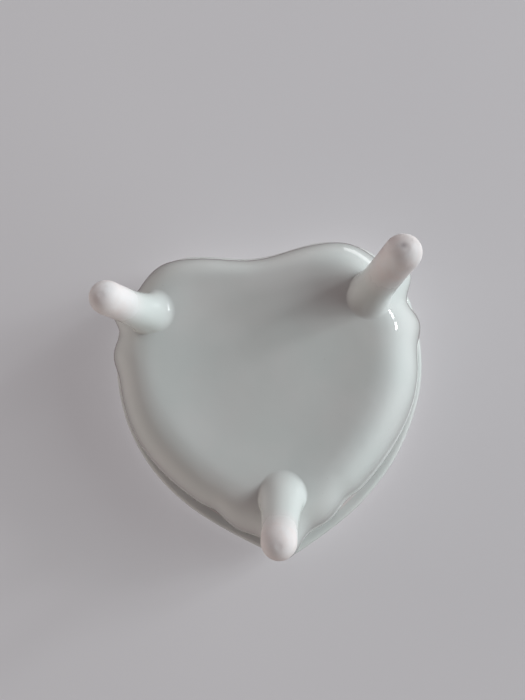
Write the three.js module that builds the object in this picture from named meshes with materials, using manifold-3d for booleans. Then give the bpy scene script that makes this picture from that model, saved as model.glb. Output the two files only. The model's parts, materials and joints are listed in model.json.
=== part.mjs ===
// Heart-shaped footed trinket box in glazed porcelain: bowl, three luted feet and a loose lift-off lid.
// Millimetres, +Z up, standing on its feet at z = 0. The point of the heart faces -Y, its cleft +Y.
import * as THREE from 'three';
import * as BufferGeometryUtils from 'three/addons/utils/BufferGeometryUtils.js';
import Module from 'manifold-3d';

// Heights
const FLOOR_UNDER = 18;        // underside of the bowl at the edge of its floor
const FLOOR_DISH = 1;          // the underside sinks in by this much at its middle
const FLOOR_THICK = 3;
const RIM_TOP = 38;
const SEAT_GAP = 0.3;          // lid seat above the rim
const LID_EDGE_THICK = 3.6;
const LID_TOP = 48;
const FLANGE_DEPTH = 3;
const MOUTH_DEPTH = 3.4;       // straight part of the bowl's mouth, which takes the flange

// Plan
const CENTRE_Y = 4;            // middle of the floor, on the line from cleft to point
const OUTLINE_BACK = 1.4;      // moves the whole box so that its outline is centred on the origin
const SIDE_INSET = 1.5;        // rim of the bowl inside the lid's edge, at the sides
const POINT_INSET = 3.05;      // and near the point
const INSET_RISE = [-4, -34];  // it grows from the one to the other between these two y
const WALL = 3.4;
const SHOULDER = 3.5;          // the underside starts to turn up into the wall this far inside the floor's edge
const WALL_CURVE = 3.4;        // wall height grows as this power of its reach: flat low down, steep at the rim
const INSIDE_CURVE = 2.2;      // and the same for its inside
const RIM_ROUND = 0.5;         // the rim's edges are rounded over this height
const FLANGE_CLEARANCE = 0.6;  // locating flange inside the bowl's mouth
const FLANGE_THICK = 2.2;
const JOINT_GAP = 0.3;         // foot to bowl

// Rings of the lid's rounded edge: how far inside the edge, and what share of its thickness above the seat
const LID_EDGE = [[1.3, 0], [0.35, 0.12], [0, 0.42], [0.3, 0.75], [1.4, 1]];
// Rings of its shoulder: share of the way from edge to floor outline, and height above the edge
const LID_SHOULDER = [[0.38, 1.2], [0.7, 2.8]];
// Rings of its crown and of the hollow under it: scale of the floor's outline, and depth below the top
const LID_CROWN = [[1, 2], [0.8, 0.7], [0.5, 0]];
const LID_HOLLOW = [[0.55, 3.1], [0.92, 4.2]];
const LID_THICK = 3;           // at the middle of the crown

// Small departures of this mould from a symmetric heart: a stretch of its edge, and which way that is pushed
const DEPARTURES = [
  { at: [37, 32], reach: 7, push: [-0.6, -0.4] },
  { at: [-37, -14], reach: 12, push: [0.5, 0.2] },
  { at: [-20, -33], reach: 8, push: [-0.15, -0.25] },
  { at: [28, -24], reach: 14, push: [0.2, -0.2] },
];

// Knees of the wall over the feet. Each wave is [height, distance from the knee's middle, width]; a pair is for
// the wall on the knee's -X side and for the wall on its +X side.
const KNEES = [
  {
    at: [38.5, 27.5], ridge: [1, 0, 4.4], swell: 4, notch: [-0.5, 6.5, 2.4],
    flank: [[0.5, 17, 5], [1.4, 13, 4.5]], crease: [[-0.2, 24, 5], [-0.2, 20, 4]],
  },
  {
    at: [-38.5, 27.5], ridge: [1, 0, 4.4], swell: 4, notch: [-0.5, 6.5, 2.4],
    flank: [[1.7, 13, 4.5], [0.5, 17, 5]], crease: [[-0.2, 20, 4], [-0.2, 24, 5]],
  },
  {
    at: [-0.5, -43.6], ridge: [1.6, 0, 4.6], swell: 2.6, notch: [-0.2, 7.5, 2.5],
    flank: [[0.7, 13.5, 4], [0.7, 15, 4]], crease: [[-0.7, 21.2, 3.2], [-0.7, 22.3, 3.2]],
  },
];
const KNEE_SIDE_BLEND = 0.8;   // the two sides of a knee blend into each other over about this much of x

// Feet: where each one leaves the floor and where its ball end stands, set on by hand
const FEET = [
  { name: 'foot_cleft_right', root: [27.5, 22.6], tip: [31.8, 24.4], ball: 3.8, neck: 3.9 },
  { name: 'foot_cleft_left', root: [-27.3, 22.3], tip: [-32.3, 27], ball: 4.1, neck: 4 },
  { name: 'foot_point', root: [-0.8, -24.8], tip: [0, -30.1], ball: 3.8, neck: 4.8 },
];
const FOOT_PAD = 1.4;          // radius of the flat each foot stands on
const FOOT_ROOT = 1.3;         // radius gained from neck to root
const FOOT_ABOVE = 6;          // a foot is drawn this far up into the bowl before it is trimmed to the wall
const FOOT_SIDES = 20;
const BALL_ANGLES = [1.08, 0.75, 0.4, 0];   // rings of a foot's ball end, in radians below its middle
// Rings of a foot's shaft: share of the height to the floor, and of the gain from neck to root
const SHAFT = [[0.36, -0.05], [0.55, 0], [0.75, 0.2], [0.9, 0.5], [1, 1]];

// Samples along each half outline: cleft to shoulder, shoulder to side, side to point
const SAMPLES = [7, 13, 22];

const SOLID = await Module();
SOLID.setup();

function halfOutline(sections) {
  const points = [];
  sections.forEach((path, i) => {
    const spaced = path.getSpacedPoints(SAMPLES[i]);
    points.push(...(i === 0 ? spaced : spaced.slice(1)));
  });
  return points;
}

// Closed outline, counter-clockwise from the point of the heart
function mirrored(half) {
  const right = half.slice().reverse();
  const left = half.slice(1, -1).map((p) => new THREE.Vector2(-p.x, p.y));
  return [...right, ...left];
}

function path(start, draw) {
  const p = new THREE.Path();
  p.moveTo(...start);
  draw(p);
  return p;
}

function pushed(outline) {
  return outline.map((p) => {
    const moved = p.clone();
    DEPARTURES.forEach(({ at, reach, push }) => {
      const near = Math.exp(-((p.distanceTo(new THREE.Vector2(...at)) / reach) ** 2));
      moved.addScaledVector(new THREE.Vector2(...push), near);
    });
    return moved;
  });
}

// The lid's edge, which is also the largest outline of the box
function lidOutline() {
  return pushed(mirrored(halfOutline([
    path([0, 38.6], (p) => p.bezierCurveTo(7, 38.6, 12, 41, 19, 41)),
    path([19, 41], (p) => p.bezierCurveTo(31.5, 41, 42.5, 30.5, 42.4, 10)),
    path([42.4, 10], (p) => {
      p.bezierCurveTo(42.4, -13, 30, -28, 4, -42.4);
      p.bezierCurveTo(2.3, -43.35, 1.3, -43.8, 0, -43.8);
    }),
  ])));
}

// The edge of the bowl's floor: a rounder heart with no cleft
function floorOutline() {
  return mirrored(halfOutline([
    path([0, 30.4], (p) => p.bezierCurveTo(6, 30.4, 9, 31.4, 14.5, 31.2)),
    path([14.5, 31.2], (p) => p.bezierCurveTo(22.5, 30.8, 28.8, 21, 28.8, 9.5)),
    path([28.8, 9.5], (p) => p.bezierCurveTo(28.8, -4, 12, -24, 0, -24)),
  ]));
}

const LID = lidOutline();
const FLOOR = floorOutline();

// Points a given distance inside the lid's edge, on the way to the floor's edge
function insetRing(distance, z) {
  return LID.map((edge, i) => {
    const inward = FLOOR[i].clone().sub(edge).normalize();
    const p = edge.clone().addScaledVector(inward, distance(i));
    return new THREE.Vector3(p.x, p.y, z);
  });
}

// The floor's outline scaled about the middle of the floor
function floorRing(scale, z) {
  return FLOOR.map((p) => new THREE.Vector3(p.x * scale, CENTRE_Y + (p.y - CENTRE_Y) * scale, z));
}

// Where the rim is inside the lid's edge
function rimInset(i) {
  const [from, to] = INSET_RISE;
  return SIDE_INSET + (POINT_INSET - SIDE_INSET) * (1 - THREE.MathUtils.smoothstep(LID[i].y, to, from));
}

function wave([height, at, width], distance) {
  return height * Math.exp(-(((distance - at) / width) ** 2));
}

// How far the wall stands out at a rim point, at a height from 0 at the floor to 1 at the rim
function knee(i, rise) {
  let sum = 0;
  KNEES.forEach(({ at, ridge, swell, notch, flank, crease }) => {
    const d = LID[i].distanceTo(new THREE.Vector2(...at));
    const plus = 1 / (1 + Math.exp(-(LID[i].x - at[0]) / KNEE_SIDE_BLEND));
    const oneSide = ([minusX, plusX]) => (1 - plus) * wave(minusX, d) + plus * wave(plusX, d);
    const lobes = wave(ridge, d) + wave(notch, d) + oneSide(flank) + oneSide(crease);
    const middle = swell * Math.sin(Math.PI * rise ** 0.8) * Math.exp(-((d / ridge[2]) ** 2));
    sum += lobes * Math.sqrt(rise) + middle;
  });
  return sum;
}

// Skin over a stack of rings, closed by a point at each end
function loft(first, rings, last) {
  const n = rings[0].length;
  const positions = [first, ...rings.flat(), last].flatMap((p) => [p.x, p.y, p.z]);
  const faces = [];
  const at = (ring, i) => 1 + ring * n + (i % n);
  const end = 1 + rings.length * n;
  for (let i = 0; i < n; i += 1) {
    faces.push(0, at(0, i + 1), at(0, i));
    for (let r = 0; r + 1 < rings.length; r += 1) {
      faces.push(at(r, i), at(r, i + 1), at(r + 1, i + 1));
      faces.push(at(r, i), at(r + 1, i + 1), at(r + 1, i));
    }
    faces.push(at(rings.length - 1, i), at(rings.length - 1, i + 1), end);
  }
  const geometry = new THREE.BufferGeometry();
  geometry.setAttribute('position', new THREE.Float32BufferAttribute(positions, 3));
  geometry.setIndex(faces);
  return geometry;
}

const middle = (z) => new THREE.Vector3(0, CENTRE_Y, z);
const STEPS = 9;                         // rings up a wall
const FLOOR_SCALES = [0.3, 0.6, 0.8];    // rings of the underside

// How far the underside is sunk in, at its middle (scale 0) and out to the floor's edge (scale 1)
const dish = (scale) => FLOOR_DISH * (1 - Math.min(scale, 1) ** 4) ** 2;

const reachOf = (i) => LID[i].distanceTo(FLOOR[i]);

// Outer surface of the bowl up to its rim, optionally grown all round
function bowlOutside(grow) {
  const low = FLOOR_UNDER - grow;
  const high = RIM_TOP - RIM_ROUND;
  const rings = FLOOR_SCALES.map((scale) => floorRing(scale, low + dish(scale)));
  for (let s = 1; s <= STEPS; s += 1) {
    const reach = s / STEPS;
    const rise = reach ** WALL_CURVE;
    const distance = (i) => THREE.MathUtils.lerp(reachOf(i) + SHOULDER, rimInset(i) - grow, reach);
    const ring = insetRing((i) => distance(i) - knee(i, rise), 0);
    ring.forEach((p, i) => {
      const width = FLOOR[i].distanceTo(new THREE.Vector2(0, CENTRE_Y));
      p.z = low + dish(1 - (distance(i) - reachOf(i)) / width) + (high - low) * rise;
    });
    rings.push(ring);
  }
  return rings;
}

// From the bowl's mouth down to the floor of its inside
function innerWall(inset) {
  const low = FLOOR_UNDER + FLOOR_THICK;
  const rings = [];
  for (let s = STEPS; s > 0; s -= 1) {
    const reach = s / STEPS;
    const z = THREE.MathUtils.lerp(low, RIM_TOP - MOUTH_DEPTH, reach ** INSIDE_CURVE);
    rings.push(insetRing((i) => THREE.MathUtils.lerp(reachOf(i), inset(i), reach), z));
  }
  return rings;
}

function bowl() {
  const inner = (i) => rimInset(i) + WALL;
  const rim = [
    insetRing((i) => rimInset(i) + RIM_ROUND - knee(i, 1), RIM_TOP),
    insetRing((i) => inner(i) - RIM_ROUND, RIM_TOP),
  ];
  const mouth = insetRing(inner, RIM_TOP - RIM_ROUND);
  const floor = [floorRing(0.9, FLOOR_UNDER + FLOOR_THICK)];
  return loft(
    middle(FLOOR_UNDER + FLOOR_DISH),
    [...bowlOutside(0), ...rim, mouth, ...innerWall(inner), ...floor],
    middle(FLOOR_UNDER + FLOOR_THICK),
  );
}

function lid() {
  const seat = RIM_TOP + SEAT_GAP;
  const flangeOut = WALL + FLANGE_CLEARANCE;
  const flangeIn = flangeOut + FLANGE_THICK;
  const low = seat - FLANGE_DEPTH;
  const top = seat + LID_EDGE_THICK;
  const flangeRing = (inset, z) => insetRing((i) => rimInset(i) + inset, z);
  const below = ([scale, depth]) => floorRing(scale, LID_TOP - depth);
  return loft(
    middle(LID_TOP - LID_THICK),
    [
      ...LID_HOLLOW.map(below),
      flangeRing(flangeIn + RIM_ROUND, seat + FLANGE_THICK),
      flangeRing(flangeIn, seat),
      flangeRing(flangeIn, low),
      flangeRing(flangeOut + RIM_ROUND, low),
      flangeRing(flangeOut, low + RIM_ROUND),
      flangeRing(flangeOut, seat),
      ...LID_EDGE.map(([inset, share]) => insetRing(() => inset, seat + share * LID_EDGE_THICK)),
      ...LID_SHOULDER.map(([share, height]) => insetRing((i) => share * reachOf(i), top + height)),
      ...LID_CROWN.map(below),
    ],
    middle(LID_TOP),
  );
}

function solid(geometry) {
  const merged = BufferGeometryUtils.mergeVertices(geometry);
  return new SOLID.Manifold(new SOLID.Mesh({
    numProp: 3,
    vertProperties: new Float32Array(merged.attributes.position.array),
    triVerts: new Uint32Array(merged.index.array),
  }));
}

function geometryOf(body) {
  const mesh = body.getMesh();
  const geometry = new THREE.BufferGeometry();
  geometry.setAttribute('position', new THREE.BufferAttribute(mesh.vertProperties, 3));
  geometry.setIndex(new THREE.BufferAttribute(mesh.triVerts, 1));
  return geometry;
}

// A horn that leans out from the floor, thins to a neck and ends in a ball with a small flat
function horn(foot) {
  const [rootX, rootY] = foot.root;
  const [tipX, tipY] = foot.tip;
  const lean = (z) => (FLOOR_UNDER - z) / (FLOOR_UNDER - foot.ball);
  const circle = (radius, z) => {
    const k = Math.min(lean(z), 1);
    return Array.from({ length: FOOT_SIDES }, (_, i) => {
      const a = (i / FOOT_SIDES) * 2 * Math.PI;
      return new THREE.Vector3(
        rootX + (tipX - rootX) * k + radius * Math.cos(a),
        rootY + (tipY - rootY) * k + radius * Math.sin(a),
        z,
      );
    });
  };
  const ball = (angle) => circle(foot.ball * Math.cos(angle), foot.ball * (1 - Math.sin(angle)));
  const shaft = ([height, gain]) => circle(foot.neck + gain * FOOT_ROOT, height * FLOOR_UNDER);
  const top = FLOOR_UNDER + FOOT_ABOVE;
  const rings = [
    circle(FOOT_PAD, 0),
    ...BALL_ANGLES.map(ball),
    ...SHAFT.map(shaft),
    circle(foot.neck + FOOT_ROOT, top),
  ];
  return loft(new THREE.Vector3(tipX, tipY, 0), rings, new THREE.Vector3(rootX, rootY, top));
}

// Everything a foot must stay clear of: the bowl filled in and grown by the joint gap
function bowlBlock() {
  return solid(loft(
    middle(FLOOR_UNDER + FLOOR_DISH - JOINT_GAP),
    bowlOutside(JOINT_GAP),
    middle(RIM_TOP),
  ));
}

function porcelain(colour) {
  return new THREE.MeshStandardMaterial({ color: colour, roughness: 0.12, metalness: 0 });
}

function addPiece(group, name, geometry, colour) {
  const flat = geometry.index ? geometry : BufferGeometryUtils.mergeVertices(geometry);
  const mesh = new THREE.Mesh(flat, porcelain(colour));
  mesh.name = name;
  group.add(mesh);
}

const box = new THREE.Group();
box.position.y = OUTLINE_BACK;
addPiece(box, 'bowl', bowl(), 0xe4e7e6);
addPiece(box, 'lid', lid(), 0xe6e9e8);
const block = bowlBlock();
FEET.forEach((foot) => {
  addPiece(box, foot.name, geometryOf(solid(horn(foot)).subtract(block)), 0xe5e4e6);
});

export default box;
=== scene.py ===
"""Looks for the heart-shaped footed trinket box: glazed porcelain bowl, three luted feet, loose lid.

Shapes are worked out in millimetres in the box's own frame and become metres when a mesh is made.
"""
import json
import math

import bpy
import numpy as np
from mathutils import Matrix, Vector, noise
from mathutils.bvhtree import BVHTree

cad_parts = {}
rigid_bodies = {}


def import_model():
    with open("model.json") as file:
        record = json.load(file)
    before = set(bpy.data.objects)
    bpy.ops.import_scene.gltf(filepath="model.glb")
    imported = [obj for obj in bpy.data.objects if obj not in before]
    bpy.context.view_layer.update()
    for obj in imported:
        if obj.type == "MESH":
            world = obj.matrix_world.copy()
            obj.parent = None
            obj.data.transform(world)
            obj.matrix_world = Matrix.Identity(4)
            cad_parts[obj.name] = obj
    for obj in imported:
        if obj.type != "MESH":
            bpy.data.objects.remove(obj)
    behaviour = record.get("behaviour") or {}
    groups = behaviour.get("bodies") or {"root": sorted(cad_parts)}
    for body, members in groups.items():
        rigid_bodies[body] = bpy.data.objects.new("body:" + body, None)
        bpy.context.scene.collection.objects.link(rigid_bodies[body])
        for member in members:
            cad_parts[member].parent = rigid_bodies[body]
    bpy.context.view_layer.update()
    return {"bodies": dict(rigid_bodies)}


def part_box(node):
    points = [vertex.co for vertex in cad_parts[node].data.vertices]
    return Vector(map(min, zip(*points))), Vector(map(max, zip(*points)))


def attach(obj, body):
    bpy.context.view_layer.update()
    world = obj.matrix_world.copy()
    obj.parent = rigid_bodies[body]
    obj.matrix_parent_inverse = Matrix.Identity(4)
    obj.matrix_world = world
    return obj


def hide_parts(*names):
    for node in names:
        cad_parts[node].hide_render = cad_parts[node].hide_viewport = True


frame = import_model()

MM = 0.001

# The vector noise is drawn from the clock unless it is seeded. With this seed the cast stays in the CAD box.
NOISE_SEED = 5
noise.seed_set(NOISE_SEED)


def node_mm(node):
    low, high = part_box(node)
    return np.array(low) / MM, np.array(high) / MM


BOWL_LOW, BOWL_HIGH = node_mm("bowl")
LID_LOW, LID_HIGH = node_mm("lid")

# Heights
FLOOR_UNDER = BOWL_LOW[2]
RIM_TOP = BOWL_HIGH[2]
LID_TOP = LID_HIGH[2]
FLOOR_DISH = 1.0       # the underside sinks in by this much at its middle
FLOOR_THICK = 3.0
SEAT = RIM_TOP + 0.3
LID_EDGE_THICK = 3.6
LID_THICK = 3.0        # at the middle of the crown
CROWN = LID_TOP - 0.12  # leaves room for the waviness of the cast
FLANGE_LOW = LID_LOW[2]
MOUTH_DEPTH = 3.4

# Plan, before the whole outline is moved back to be centred on the origin
LOBE_TOP = 41.0
OUTLINE_BACK = LID_HIGH[1] - LOBE_TOP
CENTRE_Y = 4.0
SIDE_INSET = 1.5       # the bowl's rim inside the lid's edge, at the sides and at the point
POINT_INSET = 3.05
INSET_RISE = (-4.0, -34.0)
RIM_ROUND = 0.8
WALL = 3.4
SHOULDER = 3.5         # the underside starts to turn up into the wall this far inside the floor's edge
WALL_CURVE = 3.4       # wall height grows as this power of its reach
INSIDE_CURVE = 2.2     # and the same for its inside
FLANGE_CLEARANCE = 0.6
FLANGE_THICK = 2.2

# Small departures of this mould from a symmetric heart: a stretch of its edge, and the way it is pushed
DEPARTURES = (
    {"at": (37.0, 32.0), "reach": 7.0, "push": (-0.6, -0.4)},
    {"at": (-37.0, -14.0), "reach": 12.0, "push": (0.5, 0.2)},
    {"at": (-20.0, -33.0), "reach": 8.0, "push": (-0.15, -0.25)},
    {"at": (28.0, -24.0), "reach": 14.0, "push": (0.2, -0.2)},
)

# Knees of the wall over the feet. Each wave is (height, distance from the knee's middle, width); a pair is
# for the wall on the knee's -X side and for the wall on its +X side.
KNEES = (
    {"at": (38.5, 27.5), "ridge": (1.0, 0.0, 4.4), "swell": 4.0, "notch": (-0.5, 6.5, 2.4),
     "flank": ((0.5, 17.0, 5.0), (1.4, 13.0, 4.5)), "crease": ((-0.2, 24.0, 5.0), (-0.2, 20.0, 4.0))},
    {"at": (-38.5, 27.5), "ridge": (1.0, 0.0, 4.4), "swell": 4.0, "notch": (-0.5, 6.5, 2.4),
     "flank": ((1.7, 13.0, 4.5), (0.5, 17.0, 5.0)), "crease": ((-0.2, 20.0, 4.0), (-0.2, 24.0, 5.0))},
    {"at": (-0.5, -43.6), "ridge": (1.6, 0.0, 4.6), "swell": 2.6, "notch": (-0.2, 7.5, 2.5),
     "flank": ((0.7, 13.5, 4.0), (0.7, 15.0, 4.0)), "crease": ((-0.7, 21.2, 3.2), (-0.7, 22.3, 3.2))},
)
KNEE_SIDE_BLEND = 0.8

# Feet, set on by hand: where each leaves the floor and where its ball end stands. The glaze stops at bare_to,
# and the join is smeared out over the bowl by this much more on one side.
FEET = (
    {"node": "foot_cleft_right", "root": (27.5, 22.6), "tip": (31.8, 24.4), "ball": 3.8, "neck": 4.25,
     "bare_to": 8.5, "mark": 0.0, "smear": (-2.2, 0.6)},
    {"node": "foot_cleft_left", "root": (-27.3, 22.3), "tip": (-32.3, 27.0), "ball": 4.1, "neck": 4.4,
     "bare_to": 9.5, "mark": 1.0, "smear": (0.6, -1.8)},
    {"node": "foot_point", "root": (-0.8, -24.8), "tip": (0.0, -30.1), "ball": 3.8, "neck": 4.7,
     "bare_to": 6.0, "mark": 0.0, "smear": (-0.5, 1.2)},
)
GLAZE_RUN_OUT = 6.0    # the glaze thins out over about this much of a foot
MARK_RADIUS = 0.6      # small pit left by the prop that a foot was fired on
MARK_DEPTH = 0.1
MARK_TOWARDS = (0.12, 0.16, -0.98)

# Waviness of the cast pieces: (size of a wave, height, seed)
BOWL_WAVES = (17, 0.16, 3.1)
LID_WAVES = (19, 0.14, 7.7)

# Fineness of the meshes: samples along each part of half an outline, rings up a wall, points round a foot
SAMPLES = (36, 66, 110)
WALL_STEPS = 40
FOOT_SIDES = 72


# ---------------------------------------------------------------- outlines

def bezier(a, b, c, d, n=400):
    t = np.linspace(0, 1, n)[:, None]
    a, b, c, d = (np.array(p, float) for p in (a, b, c, d))
    return (1 - t) ** 3 * a + 3 * (1 - t) ** 2 * t * b + 3 * (1 - t) * t ** 2 * c + t ** 3 * d


def spaced(points, n):
    """The same curve as n equal steps."""
    step = np.linalg.norm(np.diff(points, axis=0), axis=1)
    run = np.concatenate([[0], np.cumsum(step)])
    at = np.linspace(0, run[-1], n + 1)
    return np.stack([np.interp(at, run, points[:, k]) for k in range(2)], 1)


def mirrored(sections):
    """Closed outline, counter-clockwise from the point of the heart."""
    half = [spaced(s, n) for s, n in zip(sections, SAMPLES)]
    half = np.concatenate([half[0]] + [h[1:] for h in half[1:]])
    left = half[1:-1] * (-1, 1)
    return np.concatenate([half[::-1], left])


def softened(outline, width):
    """Evens out the small changes of curvature where two curves meet."""
    n = len(outline)
    k = np.arange(-3 * width, 3 * width + 1)
    weight = np.exp(-0.5 * (k / width) ** 2)
    weight /= weight.sum()
    return sum(w * np.roll(outline, j, axis=0) for w, j in zip(weight, k)).reshape(n, 2)


def lid_outline():
    point = np.concatenate([
        bezier((42.4, 10), (42.4, -13), (30, -28), (4, -42.4)),
        bezier((4, -42.4), (2.3, -43.35), (1.3, -43.8), (0, -43.8))[1:],
    ])
    outline = mirrored([
        bezier((0, 38.6), (7, 38.6), (12, LOBE_TOP), (19, LOBE_TOP)),
        bezier((19, LOBE_TOP), (31.5, LOBE_TOP), (42.5, 30.5), (42.4, 10)),
        point,
    ])
    pushes = [
        np.exp(-(np.linalg.norm(outline - d["at"], axis=1) / d["reach"]) ** 2)[:, None] * d["push"]
        for d in DEPARTURES
    ]
    return outline + sum(pushes)


def floor_outline():
    return mirrored([
        bezier((0, 30.4), (6, 30.4), (9, 31.4), (14.5, 31.2)),
        bezier((14.5, 31.2), (22.5, 30.8), (28.8, 21), (28.8, 9.5)),
        bezier((28.8, 9.5), (28.8, -4), (12, -24), (0, -24)),
    ])


EDGE = softened(lid_outline(), 2)
FLOOR = softened(floor_outline(), 6)
REACH = np.linalg.norm(FLOOR - EDGE, axis=1)
INWARD = (FLOOR - EDGE) / REACH[:, None]


LOW_SHARE = np.clip((INSET_RISE[0] - EDGE[:, 1]) / (INSET_RISE[0] - INSET_RISE[1]), 0, 1)
RIM_INSET = SIDE_INSET + (POINT_INSET - SIDE_INSET) * LOW_SHARE ** 2 * (3 - 2 * LOW_SHARE)


def ring(plan, z):
    z = np.broadcast_to(np.asarray(z, float), (len(plan),))
    return np.column_stack([plan[:, 0], plan[:, 1] + OUTLINE_BACK, z])


def inset_ring(distance, z):
    """Points a given distance inside the lid's edge, on the way to the floor's edge."""
    distance = np.broadcast_to(np.asarray(distance, float), REACH.shape)
    return ring(EDGE + INWARD * distance[:, None], z)


def floor_ring(scale, z):
    centre = np.array((0, CENTRE_Y))
    return ring(centre + (FLOOR - centre) * scale, z)


def swelling(shape, distance):
    height, at, width = shape
    return height * np.exp(-(((distance - at) / width) ** 2))


def knee(rise):
    """How far the wall stands out all round, at a height from 0 at the floor to 1 at the rim."""
    total = np.zeros(len(EDGE))
    for k in KNEES:
        at = np.array(k["at"])
        d = np.linalg.norm(EDGE - at, axis=1)
        plus = 1 / (1 + np.exp(-(EDGE[:, 0] - at[0]) / KNEE_SIDE_BLEND))
        lobes = swelling(k["ridge"], d) + swelling(k["notch"], d)
        for wave in ("flank", "crease"):
            minus_x, plus_x = (swelling(w, d) for w in k[wave])
            lobes += minus_x + (plus_x - minus_x) * plus
        middle = k["swell"] * math.sin(math.pi * rise ** 0.8) * swelling((1.0,) + k["ridge"][1:], d)
        total += lobes * math.sqrt(rise) + middle
    return total


# ---------------------------------------------------------------- meshes

def flow(stations, steps):
    """Rings on smooth curves through the given rings."""
    s = [2 * stations[0] - stations[1]] + list(stations) + [2 * stations[-1] - stations[-2]]
    rings = []
    for a, b, c, d in zip(s, s[1:], s[2:], s[3:]):
        for t in np.arange(steps) / steps:
            rings.append(0.5 * (
                2 * b + (c - a) * t + (2 * a - 5 * b + 4 * c - d) * t ** 2
                + (3 * b - a - 3 * c + d) * t ** 3
            ))
    rings.append(stations[-1])
    return rings


def skin(rings, first, last):
    """Vertices and faces of a closed skin over a stack of rings, with a point at each end."""
    n = len(rings[0])
    verts = np.concatenate([[first], *rings, [last]])
    end = len(verts) - 1
    i = np.arange(n)
    j = (i + 1) % n
    faces = [(0, 1 + b, 1 + a) for a, b in zip(i, j)]
    for r in range(len(rings) - 1):
        low, high = 1 + r * n, 1 + (r + 1) * n
        faces += [(low + a, low + b, high + b, high + a) for a, b in zip(i, j)]
    top = 1 + (len(rings) - 1) * n
    faces += [(top + a, top + b, end) for a, b in zip(i, j)]
    return verts, faces


def uneven(verts, scale, amount, seed):
    """The slight waviness of a hand-finished cast: moves points by smooth noise."""
    offset = Vector((seed, 2.3 * seed, -1.7 * seed))
    moved = verts.copy()
    for k, v in enumerate(verts):
        moved[k] += amount * np.array(noise.noise_vector(Vector(v) / scale + offset))
    return moved


def make_mesh(name, verts, faces, bare, mark):
    """A smooth mesh, with the share of bare clay and of firing mark at each of its points."""
    mesh = bpy.data.meshes.new(name)
    mesh.from_pydata([tuple(v) for v in verts * MM], [], [tuple(map(int, f)) for f in faces])
    for label, values in (("bare", bare), ("mark", mark)):
        attribute = mesh.attributes.new(label, "FLOAT", "POINT")
        attribute.data.foreach_set("value", np.asarray(values, np.float32))
    mesh.validate()
    mesh.update()
    mesh.shade_smooth()
    obj = bpy.data.objects.new(name, mesh)
    bpy.context.scene.collection.objects.link(obj)
    return obj


def middle(z):
    return np.array((0, CENTRE_Y + OUTLINE_BACK, z))


def dish(scale):
    """How far the underside is sunk in, at its middle (scale 0) and out to the floor's edge (scale 1)."""
    return FLOOR_DISH * np.clip(1 - np.asarray(scale, float) ** 4, 0, 1) ** 2


def outer_wall():
    """From inside the floor's edge up to the rim, with the knees over the feet."""
    start = REACH + SHOULDER
    width = np.linalg.norm(FLOOR - (0, CENTRE_Y), axis=1)
    rings = []
    for reach in np.linspace(0, 1, WALL_STEPS + 1)[1:]:
        rise = reach ** WALL_CURVE
        distance = start + (RIM_INSET - start) * reach
        z = FLOOR_UNDER + dish(1 - (distance - REACH) / width) + (RIM_TOP - RIM_ROUND - FLOOR_UNDER) * rise
        rings.append(inset_ring(distance - knee(rise), z))
    return rings


def inner_wall(inset):
    """From the mouth down to the floor of the inside."""
    low = FLOOR_UNDER + FLOOR_THICK
    rings = []
    for reach in np.linspace(1, 0, WALL_STEPS + 1)[:-1]:
        z = low + (RIM_TOP - MOUTH_DEPTH - low) * reach ** INSIDE_CURVE
        rings.append(inset_ring(REACH + (inset - REACH) * reach, z))
    return rings


def bowl_rings():
    inner = RIM_INSET + WALL
    scales = (0.05, 0.12, 0.22, 0.34, 0.46, 0.56, 0.66, 0.74, 0.8)
    rings = [floor_ring(s, FLOOR_UNDER + dish(s)) for s in scales]
    rings += outer_wall()
    for a in np.linspace(0, math.pi / 2, 7)[1:]:
        out = knee(1.0) * (1 - 0.5 * math.sin(a))
        rings.append(inset_ring(RIM_INSET + RIM_ROUND * (1 - math.cos(a)) - out,
                                RIM_TOP - RIM_ROUND * (1 - math.sin(a))))
    for a in np.linspace(math.pi / 2, 0, 7):
        rings.append(inset_ring(inner - RIM_ROUND * (1 - math.cos(a)),
                                RIM_TOP - RIM_ROUND * (1 - math.sin(a))))
    rings += inner_wall(inner)
    rings += [floor_ring(s, FLOOR_UNDER + FLOOR_THICK) for s in (0.93, 0.8, 0.6, 0.4, 0.2, 0.05)]
    return rings


def make_bowl():
    rings = bowl_rings()
    verts, faces = skin(rings, middle(FLOOR_UNDER + FLOOR_DISH), middle(FLOOR_UNDER + FLOOR_THICK))
    verts = uneven(verts, *BOWL_WAVES)
    bare = np.clip((verts[:, 2] - RIM_TOP + 0.3) / 0.2, 0, 1)
    return make_mesh("bowl_porcelain", verts, faces, bare, 0 * bare), verts, faces


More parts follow.
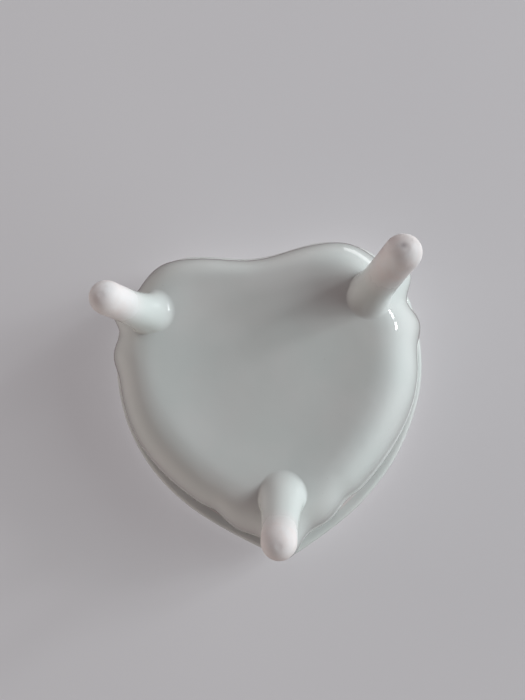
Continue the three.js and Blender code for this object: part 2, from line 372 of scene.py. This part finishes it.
def make_lid():
    flange_out = RIM_INSET + WALL + FLANGE_CLEARANCE
    flange_in = flange_out + FLANGE_THICK
    edge = LID_EDGE_THICK
    hollow = [
        floor_ring(0.05, LID_TOP - LID_THICK),
        floor_ring(0.3, LID_TOP - LID_THICK),
        floor_ring(0.55, LID_TOP - 3.15),
        floor_ring(0.8, LID_TOP - 3.7),
        floor_ring(0.95, LID_TOP - 4.6),
        inset_ring(flange_in + 0.3, SEAT + 1.6),
        inset_ring(flange_in, SEAT),
        inset_ring(flange_in, FLANGE_LOW + 0.6),
        inset_ring(flange_in - 0.5, FLANGE_LOW),
        inset_ring(flange_out + 0.5, FLANGE_LOW),
        inset_ring(flange_out, FLANGE_LOW + 0.6),
        inset_ring(flange_out, SEAT - 0.3),
        inset_ring(flange_out - 0.3, SEAT),
    ]
    outside = [
        inset_ring(3.2, SEAT),
        inset_ring(1.3, SEAT),
        inset_ring(0.4, SEAT + 0.14 * edge),
        inset_ring(0, SEAT + 0.42 * edge),
        inset_ring(0.26, SEAT + 0.72 * edge),
        inset_ring(1.3, SEAT + 0.98 * edge),
        inset_ring(0.27 * REACH, SEAT + edge + 0.85),
        inset_ring(0.5 * REACH, SEAT + edge + 1.9),
        inset_ring(0.75 * REACH, SEAT + edge + 3.0),
        floor_ring(1, LID_TOP - 2.0),
        floor_ring(0.8, LID_TOP - 0.8),
        floor_ring(0.6, LID_TOP - 0.25),
        floor_ring(0.45, CROWN),
        floor_ring(0.25, CROWN),
        floor_ring(0.05, CROWN),
    ]
    rings = flow(hollow, 3) + flow(outside, 5)
    verts, faces = skin(rings, middle(LID_TOP - LID_THICK), middle(CROWN))
    ring_of = np.arange(len(verts)) // len(EDGE)
    seat = (ring_of > 3 * (len(hollow) - 2)) & (ring_of <= 3 * (len(hollow) - 1) + 1)
    bare = seat.astype(float)
    return make_mesh("lid_porcelain", uneven(verts, *LID_WAVES), faces, bare, 0 * bare)


FLARE_FROM = 0.4       # share of a foot's length where it starts to flare into the bowl
ROOT_SKIRT = 0.9       # how far the flare runs out over the bowl, apart from the smear
SKIN_UNDER = (1.5, 0.04)   # past its edge the flare goes on just under the bowl's surface: how far, how deep
ROOT_INSIDE = 1.2      # its end, inside the bowl's wall
PAD = 0.08             # how much of the ball end is flattened where it stands
BARE_WANDER = (3.1, 0.9)   # the edge of the glaze wanders: size of a wave, height


def make_foot(foot, bowl_tree):
    """A horn from its standing pad up to a fillet that runs out on the bowl."""
    root = np.array((*foot["root"], FLOOR_UNDER)) + (0, OUTLINE_BACK, 0)
    tip = np.array((*foot["tip"], foot["ball"])) + (0, OUTLINE_BACK, 0)
    axis = (root - tip) / np.linalg.norm(root - tip)
    length = np.linalg.norm(root - tip)
    side = np.cross(axis, (0, 1, 0))
    side /= np.linalg.norm(side)
    other = np.cross(axis, side)
    turn = np.linspace(0, 2 * math.pi, FOOT_SIDES, endpoint=False)
    around = np.cos(turn)[:, None] * side + np.sin(turn)[:, None] * other
    ball, neck = foot["ball"], foot["neck"]

    def shaft(share):
        """Radius along the foot, from its ball end. Its slope where the flare starts leads to the neck's."""
        return ball + (neck - ball) * share ** 2 / (FLARE_FROM * (2 - FLARE_FROM))

    def at(share):
        return tip + axis * length * share + around * shaft(share)

    rings = [
        tip - axis * ball * math.cos(a) + around * ball * math.sin(a)
        for a in np.linspace(0.06, math.pi / 2, 16)
    ]
    rings += [at(share) for share in np.linspace(0, FLARE_FROM, 8)[1:]]

    # The flare leaves the shaft along its slope and turns where that meets the bowl
    start = rings[-1]
    slope = 2 * (neck - ball) / (2 - FLARE_FROM)
    turns = []
    for from_shaft, out, fallback in zip(start, around, at(1)):
        hit = bowl_tree.ray_cast(Vector(from_shaft), Vector(axis * length + out * slope))[0]
        turns.append(fallback if hit is None else hit)
    turns = np.array(turns)
    skirt = ROOT_SKIRT + np.clip(around @ (*foot["smear"], 0), 0, None)
    past, depth = SKIN_UNDER
    ends, sunk = [], []
    for turned, out, width in zip(turns, around, skirt):
        goal = turned + out * width
        ends.append(np.array(bowl_tree.find_nearest(Vector(goal))[0]))
        near, normal, _, _ = bowl_tree.find_nearest(Vector(goal + out * past))
        sunk.append(np.array(near) - np.array(normal) * depth)
    ends, sunk = np.array(ends), np.array(sunk)
    for t in np.linspace(0, 1, 20)[1:]:
        rings.append((1 - t) ** 2 * start + 2 * t * (1 - t) * turns + t ** 2 * ends)
    inside = root + axis * ROOT_INSIDE
    rings += [sunk, 0.5 * (sunk + inside)]
    bottom = tip - axis * ball
    verts, faces = skin(rings, bottom, inside)
    verts[:, 2] = np.where(verts[:, 2] < ball, (verts[:, 2] - PAD) * ball / (ball - PAD), verts[:, 2])
    verts[:, 2] = np.maximum(verts[:, 2], 0)
    away = np.array([v / np.linalg.norm(v) for v in verts - tip])
    spread = ball * np.linalg.norm(away - MARK_TOWARDS, axis=1) / MARK_RADIUS
    mark = foot["mark"] * np.exp(-spread ** 2)
    verts -= away * (MARK_DEPTH * mark)[:, None]
    wave, height = BARE_WANDER
    edge = np.array([foot["bare_to"] + height * noise.noise(Vector(v) / wave) for v in verts])
    bare = np.clip(0.5 + (edge - verts[:, 2]) / GLAZE_RUN_OUT, 0, 1)
    return make_mesh(foot["node"] + "_porcelain", verts, faces, bare, mark)


# ---------------------------------------------------------------- glazed porcelain

class Nodes:
    """A material's node tree, with short ways to add and link nodes."""

    def __init__(self, name):
        self.material = bpy.data.materials.new(name)
        self.material.use_nodes = True
        self.tree = self.material.node_tree
        self.tree.nodes.clear()

    def add(self, kind, **settings):
        node = self.tree.nodes.new(kind)
        for key, value in settings.items():
            setattr(node, key, value)
        return node

    def link(self, source, target):
        self.tree.links.new(source, target)

    def noise(self, vector, scale, detail=3.0, roughness=0.5):
        node = self.add("ShaderNodeTexNoise")
        node.inputs["Scale"].default_value = scale
        node.inputs["Detail"].default_value = detail
        node.inputs["Roughness"].default_value = roughness
        self.link(vector, node.inputs["Vector"])
        return node.outputs["Fac"]

    def ramp(self, value, stops):
        node = self.add("ShaderNodeValToRGB")
        elements = node.color_ramp.elements
        while len(elements) < len(stops):
            elements.new(0.5)
        for element, (place, colour) in zip(elements, stops):
            element.position = place
            element.color = colour
        self.link(value, node.inputs["Fac"])
        return node.outputs["Color"]

    def mix(self, factor, a, b, blend="MIX"):
        node = self.add("ShaderNodeMix", data_type="RGBA", blend_type=blend)
        for socket, value in ((node.inputs[0], factor), (node.inputs[6], a), (node.inputs[7], b)):
            if isinstance(value, bpy.types.NodeSocket):
                self.link(value, socket)
            else:
                socket.default_value = value
        return node.outputs[2]

    def bump(self, height, strength, distance, normal=None):
        node = self.add("ShaderNodeBump")
        node.inputs["Strength"].default_value = strength
        node.inputs["Distance"].default_value = distance
        self.link(height, node.inputs["Height"])
        if normal is not None:
            self.link(normal, node.inputs["Normal"])
        return node.outputs["Normal"]


GLAZED = (0.70, 0.71, 0.70)
BARE = (0.785, 0.76, 0.765)


def grey(v):
    return (v, v, v, 1)


def scaled(colour, by):
    return tuple(c * k for c, k in zip(colour, by)) + (1,)


def porcelain(name):
    """White clay under a clear glaze, with the glaze left off where the mesh says that the clay is bare."""
    n = Nodes(name)
    place = n.add("ShaderNodeTexCoord").outputs["Object"]
    bare = n.add("ShaderNodeAttribute", attribute_name="bare").outputs["Fac"]
    mark = n.add("ShaderNodeAttribute", attribute_name="mark").outputs["Fac"]

    cloud = n.noise(place, 55, 2.0)
    glazed = n.ramp(cloud, ((0.32, scaled(GLAZED, (0.94, 0.97, 0.965))), (0.68, scaled(GLAZED, (1, 1, 1)))))
    fleck = n.ramp(n.noise(place, 1700, 1.0), ((0.8, grey(0)), (0.84, grey(1))))
    glazed = n.mix(fleck, glazed, scaled(GLAZED, (0.8, 0.79, 0.76)))
    blush = n.ramp(n.noise(place, 210, 3.0, 0.6), ((0.3, scaled(BARE, (1, 1, 1))),
                                                  (0.72, scaled(BARE, (0.95, 0.88, 0.86)))))
    colour = n.mix(bare, glazed, blush)
    colour = n.mix(mark, colour, (0.5, 0.46, 0.47, 1))

    smooth = n.ramp(n.noise(place, 150, 3.0), ((0.3, grey(0.045)), (0.75, grey(0.085))))
    matt = n.ramp(n.noise(place, 900, 3.0), ((0.3, grey(0.42)), (0.7, grey(0.56))))
    roughness = n.mix(bare, smooth, matt)

    normal = n.bump(n.noise(place, 85, 2.0), 0.16, 0.0012)
    normal = n.bump(n.noise(place, 380, 2.0), 0.05, 0.0003, normal)
    grain = n.mix(bare, grey(0.5), n.ramp(n.noise(place, 2600, 3.0), ((0, grey(0)), (1, grey(1)))))
    normal = n.bump(grain, 0.25, 0.0001, normal)

    shader = n.add("ShaderNodeBsdfPrincipled")
    shader.inputs["IOR"].default_value = 1.5
    n.link(colour, shader.inputs["Base Color"])
    n.link(roughness, shader.inputs["Roughness"])
    n.link(normal, shader.inputs["Normal"])
    out = n.add("ShaderNodeOutputMaterial")
    n.link(shader.outputs["BSDF"], out.inputs["Surface"])
    return n.material


# ---------------------------------------------------------------- studio

def camera():
    """Below the box and a little to one side, where the photograph was taken from."""
    place = Vector((-5.7, OUTLINE_BACK, -110.1)) * MM
    aim = Vector((1.0, 14.0, 39.9)) * MM
    roll = math.radians(5.8)
    forward = (aim - place).normalized()
    up = (Vector((0, 1, 0)) - forward * forward.y).normalized()
    right = forward.cross(up)
    up, right = up * math.cos(roll) + right * math.sin(roll), right * math.cos(roll) - up * math.sin(roll)
    data = bpy.data.cameras.new("camera")
    data.lens = 27.77
    data.sensor_width = 36
    data.clip_start = 0.005
    data.clip_end = 30
    obj = bpy.data.objects.new("camera", data)
    obj.matrix_world = Matrix((
        (right.x, up.x, -forward.x, place.x),
        (right.y, up.y, -forward.y, place.y),
        (right.z, up.z, -forward.z, place.z),
        (0, 0, 0, 1),
    ))
    bpy.context.scene.collection.objects.link(obj)
    bpy.context.scene.camera = obj


def towards(azimuth, elevation):
    """Direction from the box, in degrees from +X towards +Y and up from level."""
    a, e = math.radians(azimuth), math.radians(elevation)
    return math.cos(e) * math.cos(a), math.cos(e) * math.sin(a), math.sin(e)


def area_light(name, direction, distance, size, power, colour, mirrored_in_glaze):
    centre = Vector((0, 0, 0.5 * LID_TOP)) * MM
    direction = Vector(direction).normalized()
    data = bpy.data.lights.new(name, "AREA")
    data.shape = "RECTANGLE"
    data.size, data.size_y = size
    data.energy = power
    data.color = colour
    obj = bpy.data.objects.new(name, data)
    obj.location = centre + direction * distance
    obj.rotation_euler = (-direction).to_track_quat("-Z", "Y").to_euler()
    obj.visible_glossy = mirrored_in_glaze
    bpy.context.scene.collection.objects.link(obj)
    return obj


def world(light, backdrop):
    """Dim even light all round, and a pale backdrop where the camera looks past the floor."""
    w = bpy.data.worlds.new("studio")
    w.use_nodes = True
    tree = w.node_tree
    tree.nodes.clear()
    mix = tree.nodes.new("ShaderNodeMixShader")
    for socket, colour in ((1, light), (2, backdrop)):
        background = tree.nodes.new("ShaderNodeBackground")
        background.inputs["Color"].default_value = (*colour, 1)
        tree.links.new(background.outputs["Background"], mix.inputs[socket])
    seen = tree.nodes.new("ShaderNodeLightPath").outputs["Is Camera Ray"]
    tree.links.new(seen, mix.inputs[0])
    out = tree.nodes.new("ShaderNodeOutputWorld")
    tree.links.new(mix.outputs["Shader"], out.inputs["Surface"])
    bpy.context.scene.world = w


SURFACE = (0.42, 0.41, 0.425)


def surface_material(name, colour, fade_out):
    """Pale matt surface seen from its front only, and, when fade_out is set, not along its length."""
    n = Nodes(name)
    place = n.add("ShaderNodeTexCoord").outputs["Object"]
    tone = n.ramp(n.noise(place, 9, 2.0), ((0.3, (*[c * 0.985 for c in colour], 1)), (0.7, (*colour, 1))))
    matt = n.add("ShaderNodeBsdfPrincipled")
    matt.inputs["Roughness"].default_value = 0.75
    matt.inputs["Specular IOR Level"].default_value = 0.1
    matt.inputs["Emission Strength"].default_value = 0.5
    n.link(tone, matt.inputs["Base Color"])
    n.link(tone, matt.inputs["Emission Color"])
    clear = n.add("ShaderNodeBsdfTransparent")
    far = n.add("ShaderNodeVectorMath", operation="LENGTH")
    n.link(place, far.inputs[0])
    hide = n.add("ShaderNodeMath", operation="MAXIMUM")
    n.link(n.ramp(far.outputs["Value"], ((0.45, grey(0)), (0.95, grey(1)))), hide.inputs[0])
    n.link(n.add("ShaderNodeNewGeometry").outputs["Backfacing"], hide.inputs[1])
    hide = hide.outputs[0]
    if fade_out:
        slant = n.add("ShaderNodeLayerWeight")
        slant.inputs["Blend"].default_value = 0.5
        away = n.ramp(slant.outputs["Facing"], ((0.32, grey(0)), (0.4, grey(1))))
        most = n.add("ShaderNodeMath", operation="MAXIMUM")
        n.link(hide, most.inputs[0])
        n.link(away, most.inputs[1])
        hide = most.outputs[0]
    mix = n.add("ShaderNodeMixShader")
    n.link(hide, mix.inputs[0])
    n.link(matt.outputs["BSDF"], mix.inputs[1])
    n.link(clear.outputs["BSDF"], mix.inputs[2])
    out = n.add("ShaderNodeOutputMaterial")
    n.link(mix.outputs["Shader"], out.inputs["Surface"])
    return n.material


def surface(name, z, half, upward, material):
    corners = [(-half, -half), (half, -half), (half, half), (-half, half)]
    if not upward:
        corners.reverse()
    mesh = bpy.data.meshes.new(name)
    mesh.from_pydata([(x, y, z) for x, y in corners], [], [(0, 1, 2, 3)])
    obj = bpy.data.objects.new(name, mesh)
    obj.data.materials.append(material)
    obj.visible_shadow = False
    obj.visible_diffuse = False
    obj.visible_glossy = False
    bpy.context.scene.collection.objects.link(obj)
    return obj


# ---------------------------------------------------------------- the box

glaze = porcelain("glazed_porcelain")
bowl, bowl_verts, bowl_faces = make_bowl()
tree = BVHTree.FromPolygons([tuple(v) for v in bowl_verts], [tuple(map(int, f)) for f in bowl_faces])
lid = make_lid()
pieces = [(bowl, "bowl", "base"), (lid, "lid", "lid")]
for foot in FEET:
    pieces.append((make_foot(foot, tree), foot["node"], "base"))
for piece, node, body in pieces:
    piece.data.materials.append(glaze)
    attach(piece, body)
    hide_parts(node)

camera()
world((0.13, 0.105, 0.112), (0.46, 0.45, 0.465))
# Name, azimuth and elevation, distance, size, power, colour, and whether the glaze mirrors it
LIGHTS = (
    ("softbox_side", (178, -8), 2.0, (3.4, 1.2), 34.0, (0.89, 0.99, 1.0), False),
    ("softbox_under", (169, -33), 2.0, (1.0, 1.0), 13.0, (0.9, 1.0, 0.98), False),
    ("softbox_back", (45, -8), 1.0, (0.9, 0.6), 3.3, (1.0, 0.97, 0.93), False),
    ("softbox_front", (-45, -8), 1.0, (1.6, 0.6), 2.9, (1.0, 0.93, 0.8), False),
    ("window_pane_a", (157, -24), 1.0, (0.11, 0.13), 1.2, (0.95, 0.97, 1.0), True),
    ("window_pane_b", (169, -24), 1.0, (0.13, 0.13), 1.3, (0.95, 0.97, 1.0), True),
    ("softbox_rim", (-40, 22), 2.0, (2.0, 1.2), 9.0, (1.0, 0.97, 0.95), False),
    ("softbox_top", (150, 60), 3.0, (2.4, 2.4), 120.0, (1.0, 1.0, 1.0), False),
    ("window_top", (130, 28), 1.0, (0.5, 0.3), 0.7, (1.0, 1.0, 1.0), True),
)
for name, place, *settings in LIGHTS:
    area_light(name, towards(*place), *settings)
surface("floor", 0.0, 4.0, True, surface_material("floor", SURFACE, False))
under = surface("surface_under_lid", LID_TOP * MM, 4.0, False,
                surface_material("surface_under_lid", SURFACE, True))
under.parent = frame["bodies"]["lid"]
bpy.context.scene.view_settings.view_transform = "Standard"
